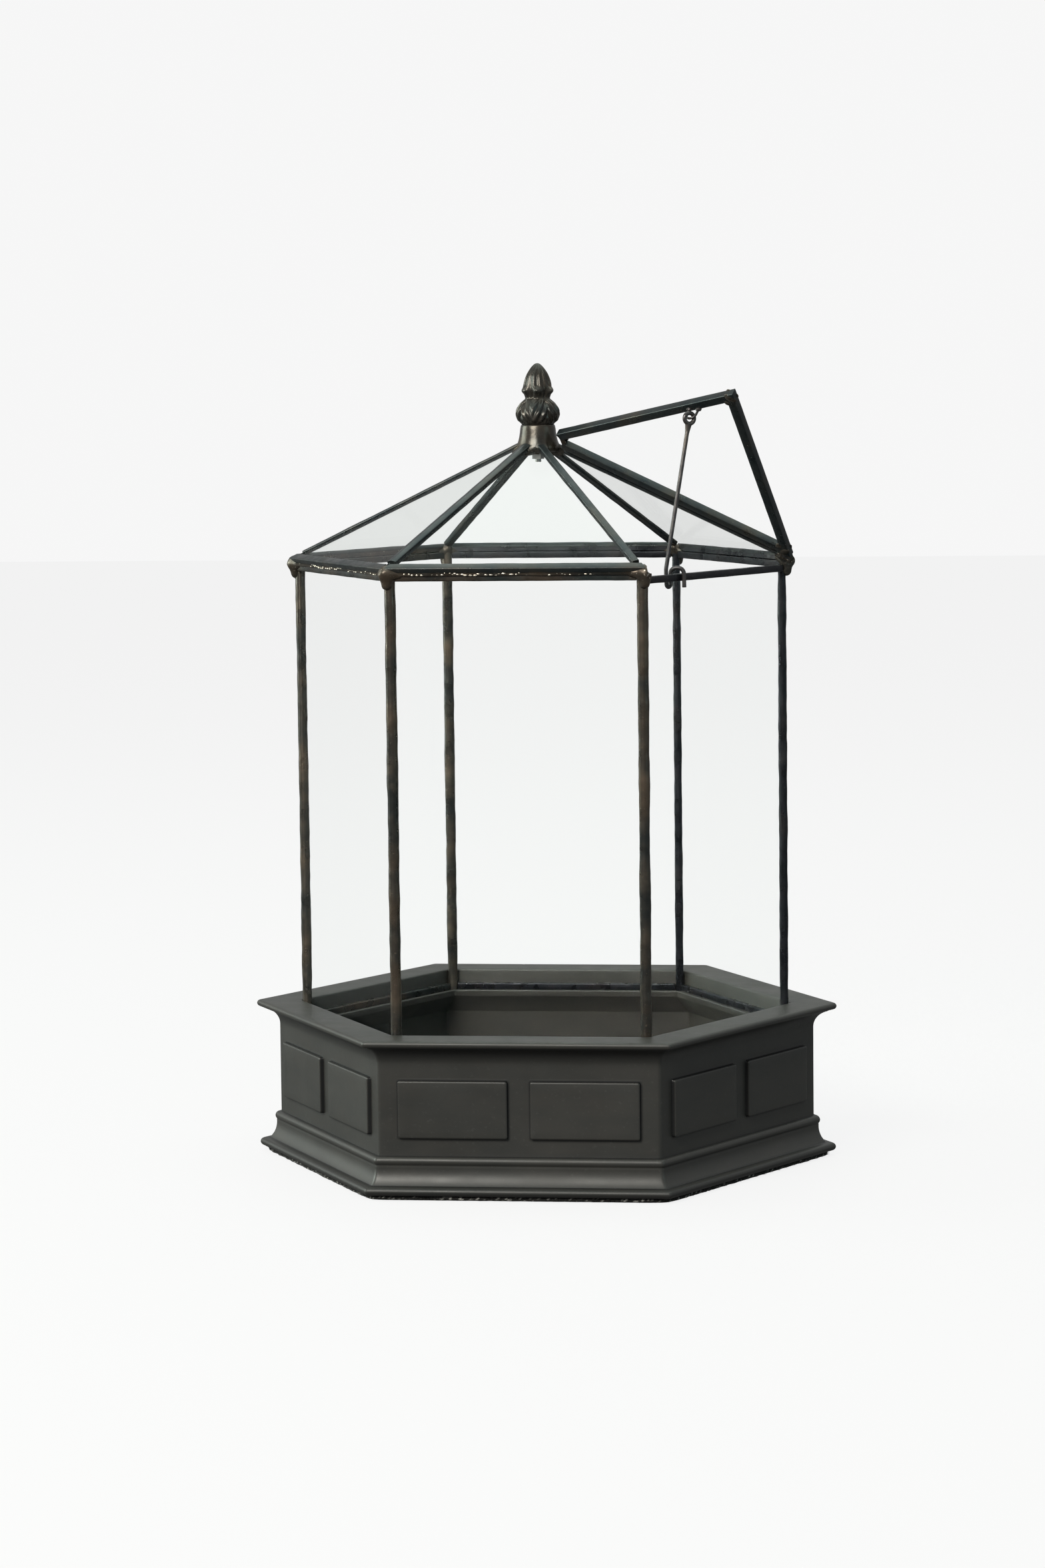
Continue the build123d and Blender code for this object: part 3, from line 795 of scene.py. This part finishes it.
# -------------------- roof bars
def roof_frame(side):
    """Directions along the eave, up the slope and out of one plane of the roof."""
    angle = 30 + 60 * side
    normal = plan(angle) * sin(SLOPE) + Vector((0, 0, cos(SLOPE)))
    sideways = plan(angle + 90)
    upslope = normal.cross(sideways)
    return sideways, upslope, normal


def roof_point(side, x, y, z=0.0):
    sideways, upslope, normal = roof_frame(side)
    return Vector((0, 0, APEX)) + sideways * x + upslope * y + normal * z


SEAM_SECTION = [
    (-0.2, -1.6, 0.8), (1.6, -1.2, 1.0), (2.2, 0.4, 1.0), (0.6, 1.0, 0.4), (-3.6, 3.0, 0.0), (-3.9, 0.3, 0.0),
]


def eave_seam(side):
    """The run of solder under a fixed pane's eave bar, with bright specks in it."""
    normal = plan(30 + 60 * side)
    sideways = plan(120 + 60 * side)
    middle = normal * 144.5 + Vector((0, 0, 402.3))
    verts, faces, marks = bar(
        middle + sideways * 78, middle - sideways * 78, (0, 0, 1), SEAM_SECTION, 0.42, 20.0 + side, step=1.3
    )
    parts = [(verts, faces, [mark * 0.5 for mark in marks])]
    for k in range(58):
        along = (spread(k, 0.61803398875) - 0.5) * 146
        if grain((along, side * 40, 0), 26, 8) < -0.06:
            continue
        spot = middle + sideways * along + normal * (1.35 + 0.5 * spread(k, 0.7548))
        spot.z += 0.5 - 1.5 * spread(k, 0.569840)
        size = 0.32 + 0.30 * spread(k, 0.381966)
        verts, faces, marks = lump_ball((0, 0, 0), size, (1, 1, 1), 130.0 + k, 0.2)
        longer = 0.2 + 2.2 * spread(k, 0.236068)
        verts = [spot + v + sideways * (v.dot(sideways) * longer) for v in verts]
        parts.append((verts, faces, [1.0] * len(verts)))
    return join(*parts)


EAVE_BAR = 3.2  # half the width of an eave bar
eave_section = rounded(box_outline(EAVE_BAR, ROOF_BAR), 1.1)
slant = tan(HALF_ANGLE)
for side, side_name in enumerate(SIDES[:5]):
    down = SLOPE_LENGTH - EAVE_BAR
    half = down * slant - 1.0 / cos(HALF_ANGLE)
    start, end = roof_point(side, -half, -down), roof_point(side, half, -down)
    data = bar(start, end, roof_frame(side)[2], eave_section, 0.2, 12.0 + side, shear=(slant, -slant))
    add_piece(f"eave_bar_{side_name}", data, "glasshouse", "came", roof_look, f"eave_came_{side_name}")
    glaze(f"roof_pane_{side_name}", roof_glass)
    # painted shade on the seams of the two rear sides
    look = shaded_came_look if side in (0, 1) else solder_look
    add_piece(f"eave_seam_{side_name}", eave_seam(side), "glasshouse", "solder", look)


def hip_frame(corner):
    """Directions across a hip, out of it and down it."""
    down = plan(60 * corner) * cos(HIP_SLOPE) - Vector((0, 0, sin(HIP_SLOPE)))
    sideways = plan(60 * corner + 90)
    return sideways, down.cross(sideways), down


def hip_point(corner, x, y, distance):
    sideways, up, down = hip_frame(corner)
    return Vector((0, 0, APEX)) + sideways * x + up * y + down * distance


def wing(sign, reach, rise):
    """A point in a hip's section, this far out over one of its panes and this far above the pane."""
    x = sign * (reach * cos(SIDE_FALL) + rise * sin(SIDE_FALL))
    return (x, rise * cos(SIDE_FALL) - reach * sin(SIDE_FALL))


for corner, corner_name in enumerate(CORNERS):
    if corner in (0, 5):
        sign = 1 if corner == 0 else -1
        corners = ((1.0, -ROOF_BAR), (5.6, -ROOF_BAR), (5.6, ROOF_BAR), (1.0, ROOF_BAR))
        outline = [wing(sign, reach, rise) for reach, rise in corners]
        if sign < 0:
            outline.reverse()
    else:
        outline = [
            (0, -ROOF_BAR / cos(SIDE_FALL)),
            wing(1, 3.3, -ROOF_BAR),
            wing(1, 3.3, ROOF_BAR),
            (0, ROOF_BAR / cos(SIDE_FALL)),
            wing(-1, 3.3, ROOF_BAR),
            wing(-1, 3.3, -ROOF_BAR),
        ]
    start = hip_point(corner, 0, 0, 14.0)
    end = hip_point(corner, 0, 0, 160.0 / cos(HIP_SLOPE))
    data = bar(start, end, hip_frame(corner)[1], rounded(outline, 0.8), 0.17, 30.0 + corner)
    add_piece(f"hip_bar_{corner_name}", data, "glasshouse", "came", roof_look, f"hip_came_{corner_name}")


def blended(centre, arms, seed, rings=40, turns=56):
    """Solder run round several bars: (direction, length, radius at the centre, radius at the end) each."""
    centre = Vector(centre)
    arms = [(Vector(d).normalized(), length, r0, r1) for d, length, r0, r1 in arms]

    def outside(p):
        total = 0.0
        for d, length, r0, r1 in arms:
            share = max(0.0, min(1.0, p.dot(d) / length))
            total += exp(-((p - d * (share * length)).length - (r0 + (r1 - r0) * share)) / 0.9)
        return total < 1.0

    def surface(d):
        near, far = 1.0, 20.0
        for _ in range(9):
            middle = (near + far) / 2
            if outside(d * middle):
                far = middle
            else:
                near = middle
        swell = 0.28 * grain(d * near, 4.5, seed) + 0.12 * grain(d * near, 1.8, seed + 5)
        return centre + d * (near + swell), kept_mark(0.2 + 1.4 * swell)

    return ball(rings, turns, surface)


knobs = []
for corner in range(6):
    along = [plan(60 * corner + 120), plan(60 * corner - 120)]
    spot = plan(60 * corner) * 165.6 + Vector((0, 0, 402.2))
    arms = [(plan(60 * corner), 3.0, 4.7, 2.6), (Vector((0, 0, -1)), 7.0, 4.2, 3.4)]
    for neighbour, direction in ((corner, along[0]), (corner + 5, along[1])):
        if neighbour % 6 != 5:
            arms.append((direction, 8.0, 4.4, 3.1))
    arms.append((hip_frame(corner)[2] * -1, 6.0, 3.9, 2.4))
    knobs.append(blended(spot, arms, 40.0 + corner))
verts, faces, marks = join(*knobs)
door_side, door_upslope, door_normal = roof_frame(5)
door_seat = 3.7  # the solder beside the door is cut flat this far below its middle plane
for v in verts:
    local = v - Vector((0, 0, APEX))
    x, y, z = local.dot(door_side), local.dot(door_upslope), local.dot(door_normal)
    if -y < SLOPE_LENGTH + 2.5 and abs(x) < -y * tan(HALF_ANGLE) + 0.3 and z > -door_seat:
        v -= door_normal * (z + door_seat)
add_piece("eave_knobs", (verts, faces, marks), "glasshouse", "solder", solder_look, "eave_solder", sharp=80)


# -------------------- apex
def lobes(angle):
    """How much of the collar's skirt runs down each hip. Beside the door it keeps to the far side."""
    total = 0.0
    for k in range(6):
        gap = (angle - radians(60 * k) + pi) % (2 * pi) - pi
        width = 0.30
        if (k == 0 and gap < 0) or (k == 5 and gap > 0):
            width = 0.04
        total += exp(-((gap / width) ** 2))
    return total


def collar_shape(angle, height, radius):
    """A skirt that runs out over the hips, and the lumps of a casting."""
    skirt = 1 / (1 + exp((height - 478.8) / 1.1))
    edge = exp(-(((height - 474.2) / 1.0) ** 2))
    point = (radius * cos(angle), radius * sin(angle), height)
    lumps = 0.10 * grain(point, 7, 60) + 0.12 * skirt * grain(point, 3, 61)
    extra = (skirt * (3.9 * lobes(angle) - 0.4) + lumps) if radius > 5 else 0.0
    return extra, kept_mark(0.2 + 1.2 * lumps + 0.3 * edge)


collar_profile = refined(
    [
        (2.1, 474.2), (7.0, 473.9), (12.0, 473.9), (13.8, 475.0), (14.3, 477.2), (14.1, 479.6), (13.6, 481.8),
        (12.9, 484.6), (12.3, 488.0), (11.8, 491.6), (11.3, 493.6), (10.7, 494.3), (2.1, 494.4),
    ],
    0.5,
)
verts, faces, marks = lathe(collar_profile, collar_shape, 144)
for v in verts:  # the skirt's edge arches up between the hips
    reach = hypot(v.x, v.y)
    if v.z < 481 and reach > 6:
        v.z += (1.7 - 2.4 * lobes(atan2(v.y, v.x))) * (481 - v.z) / 7.0
data = (verts, faces, marks)
add_piece("collar_casting", data, "glasshouse", "finial_casting", finial_look, "apex_collar", sharp=60)


def finial_shape(angle, height, radius):
    """Four fanned leaves below and six petals round a bud above."""
    turn = (angle - radians(262)) / (2 * pi)
    extra = 0.0
    if 494.8 < height < 511.0:
        fade = min(1.0, (height - 494.8) / 2.0) * min(1.0, (511.0 - height) / 2.5)
        share = (turn * 4 + 0.5) % 1.0
        across = 2 * share - 1
        rise = (height - 495) / 15
        fan = cos(2 * pi * (abs(across) * 2.3 - rise * 1.7))
        vein = exp(-(across**2) / 0.010)
        seam = exp(-((abs(across) - 1) ** 2) / 0.008)
        extra = fade * (0.62 * fan + 0.5 * vein - 1.0 * seam + 0.3 * cos(pi * across))
    elif height >= 511.0:
        across = 2 * ((turn * 6 + 0.2) % 1.0) - 1
        lobe = exp(-((across / 0.62) ** 4))
        tip = exp(-(((height - 516.6) / 2.5) ** 2)) * lobe
        seam = exp(-((abs(across) - 1) ** 2) / 0.03) * exp(-(((height - 514.5) / 3.0) ** 2))
        above = max(0.0, min(1.0, (height - 517.0) / 3)) * max(0.0, min(1.0, (535.0 - height) / 7))
        below = max(0.0, min(1.0, (height - 511.0) / 2)) * max(0.0, min(1.0, (517.0 - height) / 3))
        petals = cos(2 * pi * (turn * 13 + 0.1 * sin((height - 517) / 5)))
        extra = 2.1 * tip - 0.7 * seam + 0.42 * petals * above + 0.2 * cos(2 * pi * turn * 18) * below
    point = (radius * cos(angle), radius * sin(angle), height)
    lumps = 0.07 * grain(point, 3.2, 70)
    return extra + lumps, kept_mark(0.25 + 0.6 * extra)


finial_profile = refined(
    [
        (10.9, 494.4), (11.6, 495.4), (12.9, 497.4), (13.9, 500.0), (14.0, 502.2), (13.1, 505.0),
        (11.4, 507.8), (9.4, 510.2), (8.4, 511.6), (8.5, 513.2), (9.0, 515.2), (9.3, 517.6), (9.0, 521.0),
        (7.9, 525.0), (6.3, 528.6), (4.4, 531.7), (2.4, 534.0), (0.9, 534.9), (0.05, 535.0),
    ],
    0.4,
)
data = lathe(finial_profile, finial_shape, 180)
add_piece("finial_casting", data, "glasshouse", "finial_casting", finial_look, "finial", sharp=70)

for node in ("finial_stud", "finial_nut"):
    glaze(node, steel_look)

# -------------------- door, drawn shut and turned to rest
hinge_point = hip_point(0, 0, HINGE_RISE, 0)
hinge_line = hip_frame(0)[2]
turn = Matrix.Rotation(radians(-DOOR_OPEN), 4, hinge_line)
opening = Matrix.Translation(hinge_point) @ turn @ Matrix.Translation(-hinge_point)


def opened(data):
    """A piece of the door, kept clear of the collar while it is shut, then turned to where it rests."""
    verts, faces, marks = data
    out = []
    for v in verts:
        reach = hypot(v.x, v.y)
        if reach < COLLAR_ROOM:
            v = Vector((v.x * COLLAR_ROOM / reach, v.y * COLLAR_ROOM / reach, v.z))
        out.append(opening @ v)
    return out, faces, marks


def door_corner(inset, bottom, sign):
    """Corner of the door at the eave, this far in from the hip and up from the eave line."""
    down = SLOPE_LENGTH - bottom
    return Vector((sign * (down * tan(HALF_ANGLE) - inset / cos(HALF_ANGLE)), -down))


rail_section = rounded(box_outline(3.0, DOOR_HALF_DEPTH), 0.55)
hollow_face = [(x * (1.0 if abs(y) > 2.0 else 0.965), y, w) for x, y, w in rail_section]
mitre = 1 / cos(HALF_ANGLE) + tan(HALF_ANGLE)
low = SLOPE_LENGTH - DOOR_RAIL_UP
half = low * tan(HALF_ANGLE) - DOOR_INSET / cos(HALF_ANGLE)
start, end = roof_point(5, -half, -low), roof_point(5, half, -low)
data = bar(start, end, door_normal, hollow_face, 0.08, 80.0, shear=(mitre, -mitre))
add_piece("door_rail", opened(data), "roof_door", "came", door_look, "door_bottom_rail")

stiles = ((1, "door_hinge_stile", "door_stile_hinge"), (-1, "door_free_stile", "door_stile_free"))
for sign, node, name in stiles:
    top_x = sign * (DOOR_TIP * tan(HALF_ANGLE) - DOOR_INSET / cos(HALF_ANGLE))
    bottom = door_corner(DOOR_INSET, DOOR_RAIL_UP, sign)
    begin = roof_point(5, top_x, -DOOR_TIP)
    finish = roof_point(5, bottom.x, bottom.y)
    shear = (sign * tan(HALF_ANGLE), sign * mitre)
    data = bar(begin, finish, door_normal, rail_section, 0.08, 85.0 + sign, shear=shear)
    add_piece(name, opened(data), "roof_door", "came", door_look, node)


def patch(x, y, long, wide, turn, seed):
    """A flat puddle of solder on both faces of the door frame."""
    out = []
    for face in (1, -1):
        data = lump_ball((0, 0, 0), 1.0, (long, wide, 1.1), seed + face, 0.12)
        turned = []
        for v in data[0]:
            a = v.x * cos(turn) - v.y * sin(turn)
            c = v.x * sin(turn) + v.y * cos(turn)
            turned.append(roof_point(5, x + a, y + c, 2.05 * face + v.z * 0.85))
        out.append((turned, data[1], data[2]))
    return join(*out)


blobs = []
for sign in (1, -1):
    spot = door_corner(4.3, 3.9, sign)
    blobs.append(patch(spot.x, spot.y, 4.4, 2.9, sign * (HALF_ANGLE / 2 - pi / 4) + pi / 2, 90.0 + 4 * sign))
    spot = door_corner(7.4, 7.0, sign)
    blobs.append(patch(spot.x, spot.y, 2.6, 2.2, sign, 97.0 + sign))
blobs.append(patch(0.0, -19.6, 2.8, 2.6, 0.2, 103.0))
add_piece("door_joints", opened(join(*blobs)), "roof_door", "solder", solder_look, "door_solder", sharp=80)

glaze("door_pane", wall_glass)


def rolled_tube():
    """Hinge tube rolled from sheet, with a seam along it and a few dents."""
    sides = 20
    rings = 96
    first, length = HINGE_ENDS[0] + 2.5, 144.0

    def ring_of(i):
        distance = first + length * i / (rings - 1)
        ring, marks = [], []
        for k in range(sides):
            angle = 2 * pi * k / sides
            seam = 0.28 * exp(-(((angle - 4.4) / 0.22) ** 2))
            swell = 0.07 * grain((distance, 4 * cos(angle), 4 * sin(angle)), 6, 100)
            r = HINGE_TUBE_RADIUS - seam + swell
            ring.append(hip_point(0, r * cos(angle), HINGE_RISE + r * sin(angle), distance))
            marks.append(kept_mark(0.5 + 4 * swell))
        return ring, marks

    return tube(rings, ring_of)


add_piece("hinge_sleeve", opened(rolled_tube()), "roof_door", "came", came_look, "hinge_tube")

solder_spot = wing(1, 4.6, HINGE_RISE * cos(SIDE_FALL))
rod = smooth_path(
    [
        hip_point(0, *solder_spot, HINGE_ENDS[0]),
        hip_point(0, 0, HINGE_RISE, HINGE_ENDS[0]),
        hip_point(0, 0, HINGE_RISE, HINGE_ENDS[1]),
        hip_point(0, *solder_spot, HINGE_ENDS[1]),
    ],
    [1.6, 1.6],
)
tacks = []
for seed, distance in zip((104, 105), HINGE_ENDS):
    foot = hip_point(0, solder_spot[0], solder_spot[1] - 0.4, distance)
    tacks.append(lump_ball(foot, 1.9, (1, 1, 0.7), seed))
data = join(wire(rod, THIN_WIRE, lump=0.02, seed=9), *tacks)
add_piece("hinge_wire", data, "glasshouse", "wire", wire_look, "hinge_rod")

# -------------------- staple and stay
free_edge = hip_frame(5)[2]
towards_hinge = door_normal.cross(free_edge)
eye_down = 0.783 * HIP_LENGTH
eye_in = 6.0
eye_shut = Vector((0, 0, APEX)) + free_edge * eye_down + towards_hinge * eye_in - door_normal * EYE_DROP
eye = opening @ eye_shut
door_up = (opening.to_3x3() @ door_normal).normalized()


def wall_point(x, y, z):
    """A point by the wall under the door: along it, its height, and how far out of the glass's plane."""
    return plan(330) * (WALL_PLANE + z) + plan(60) * x + Vector((0, 0, y))


swing = Vector((-0.192, 0.629, 0.753)).normalized()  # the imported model's axis for the stay
bends = [  # down inside the top bar, up, over it and down outside
    wall_point(-51.0, 403.0, -3.9),
    wall_point(-51.2, 391.2, -3.9),
    wall_point(-46.6, 391.2, -3.9),
    wall_point(-46.0, 403.4, -3.9),
    wall_point(-42.4, 403.4, 4.0),
    wall_point(-42.0, 390.8, 4.0),
]
rod_down = (bends[0] - eye).normalized()
ring_normal = (swing - rod_down * swing.dot(rod_down)).normalized()
ring_side = ring_normal.cross(rod_down)

loop = []
for k in range(61):
    angle = 2 * pi * k / 60 * 1.05  # the ends of the wire overlap a little
    drift = ring_normal * 0.5 * (k / 60 - 0.5)
    loop.append(eye + drift + (rod_down * cos(angle) + ring_side * sin(angle)) * EYE_RADIUS)
shank = smooth_path([eye + rod_down * (EYE_RADIUS - 0.2), *bends], [12.0, 2.2, 2.2, 3.8, 3.8])
neck = []
NECK_RINGS = 15
for k in range(NECK_RINGS):
    u = k / (NECK_RINGS - 1)
    radius = 1.25 + 1.15 * (1 - u) ** 1.6
    neck.append((radius, eye + rod_down * (3.6 + 8.5 * u)))


def neck_ring(i):
    radius, middle = neck[i]
    ring = []
    for k in range(16):
        angle = 2 * pi * k / 16
        flat = (1.15 + radius) / 2.1
        ring.append(middle + ring_side * cos(angle) * radius + ring_normal * sin(angle) * flat)
    return ring, [0.3] * 16


weld = tube(NECK_RINGS, neck_ring)
data = join(wire(loop, 1.4, lump=0.05, seed=4), wire(shank, 1.35, lump=0.05, seed=5), weld)
add_piece("stay_wire", data, "stay", "wire", wire_look, "stay_rod")

run = Matrix.Rotation(radians(STAPLE_TURN), 3, swing) @ ring_normal
run = (run - door_up * run.dot(door_up)).normalized()
foot_up = EYE_DROP - DOOR_HALF_DEPTH
leg = foot_up - STAPLE_RADIUS
path = []
for k in range(9):
    path.append(eye + door_up * (STAPLE_RADIUS + leg * (1 - k / 8)) - run * STAPLE_RADIUS)
for k in range(1, 24):
    angle = pi * k / 24
    up = STAPLE_RADIUS - STAPLE_RADIUS * sin(angle)
    path.append(eye + door_up * up - run * STAPLE_RADIUS * cos(angle))
for k in range(9):
    path.append(eye + door_up * (STAPLE_RADIUS + leg * k / 8) + run * STAPLE_RADIUS)
tacks = []
for seed, side in ((120, -1), (121, 1)):
    foot = eye + door_up * foot_up + run * (side * STAPLE_RADIUS)
    tacks.append(lump_ball(foot, 1.7, (1.2, 1.2, 0.8), seed))
data = join(wire(path, THIN_WIRE, lump=0.03, seed=6), *tacks)
add_piece("stay_staple_wire", data, "roof_door", "wire", wire_look, "stay_staple")


# -------------------- stage, light and camera
def set_strength(tree, socket, lit, seen):
    """Strength seen for what looks straight at it or through glass, and lit for everything else."""
    path = tree.nodes.new("ShaderNodeLightPath")
    bounced = maths(tree, "ADD", path.outputs["Glossy Depth"], path.outputs["Diffuse Depth"])
    unbounced = maths(tree, "LESS_THAN", bounced, 0.5)
    through = maths(tree, "MULTIPLY", path.outputs["Is Transmission Ray"], unbounced)
    straight = maths(tree, "MAXIMUM", path.outputs["Is Camera Ray"], through)
    tree.links.new(maths(tree, "MULTIPLY_ADD", straight, seen - lit, lit), socket)


bpy.context.scene.view_settings.view_transform = "Standard"
world = bpy.data.worlds.new("studio")
bpy.context.scene.world = world
world.use_nodes = True
background = world.node_tree.nodes["Background"]
background.inputs["Color"].default_value = (1, 1, 1, 1)
set_strength(world.node_tree, background.inputs["Strength"], 0.42, 0.925)

bpy.ops.mesh.primitive_plane_add(size=12, location=(0, 2.0, -0.0002))
ground = bpy.context.object
ground.name = "studio_floor"
floor_look = bpy.data.materials.new("studio_floor")
floor_look.use_nodes = True
tree = floor_look.node_tree
shader = tree.nodes["Principled BSDF"]
shader.inputs["Base Color"].default_value = (0.05, 0.05, 0.05, 1)
shader.inputs["Roughness"].default_value = 0.9
shader.inputs["Specular IOR Level"].default_value = 0.1
shader.inputs["Emission Color"].default_value = (1, 1, 1, 1)
set_strength(tree, shader.inputs["Emission Strength"], 0.10, 0.85)
ground.data.materials.append(floor_look)


def softbox(name, place_at, look_at, size, power, colour):
    light = bpy.data.lights.new(name, "AREA")
    light.shape = "RECTANGLE"
    light.size, light.size_y = size
    light.energy = power
    light.color = colour
    obj = bpy.data.objects.new(name, light)
    obj.location = place_at
    direction = Vector(look_at) - Vector(place_at)
    obj.rotation_euler = direction.to_track_quat("-Z", "Y").to_euler()
    bpy.context.scene.collection.objects.link(obj)


softbox("key", (-1.1, -2.5, 1.9), (0, 0, 0.25), (1.6, 1.2), 116, (1.0, 0.98, 0.90))
softbox("side", (-2.4, 0.2, 0.9), (0, 0, 0.2), (1.4, 1.4), 50, (0.90, 1.0, 0.91))
softbox("top", (0.2, 0.5, 2.7), (0, 0, 0.3), (3.4, 3.4), 58, (0.86, 1.0, 0.92))
softbox("low_right", (2.4, -1.2, 0.9), (0, 0, 0.15), (1.2, 1.2), 5, (0.50, 0.95, 1.0))

yaw, pitch, roll = -0.114, 0.104, -0.012  # radians
ahead = Vector((sin(yaw) * cos(pitch), cos(yaw) * cos(pitch), -sin(pitch)))
right = Vector((cos(yaw), -sin(yaw), 0))
above = right.cross(ahead)
right_turned = right * cos(roll) + above * sin(roll)
above_turned = above * cos(roll) - right * sin(roll)
camera_data = bpy.data.cameras.new("camera")
camera_data.sensor_fit = "VERTICAL"
camera_data.sensor_height = 36.0
camera_data.lens = 96.08
camera_data.clip_end = 50
camera = bpy.data.objects.new("camera", camera_data)
bpy.context.scene.collection.objects.link(camera)
turned = Matrix((right_turned, above_turned, -ahead)).transposed().to_4x4()
camera.matrix_world = Matrix.Translation((0.3067, -2.7944, 0.5457)) @ turned
bpy.context.scene.camera = camera
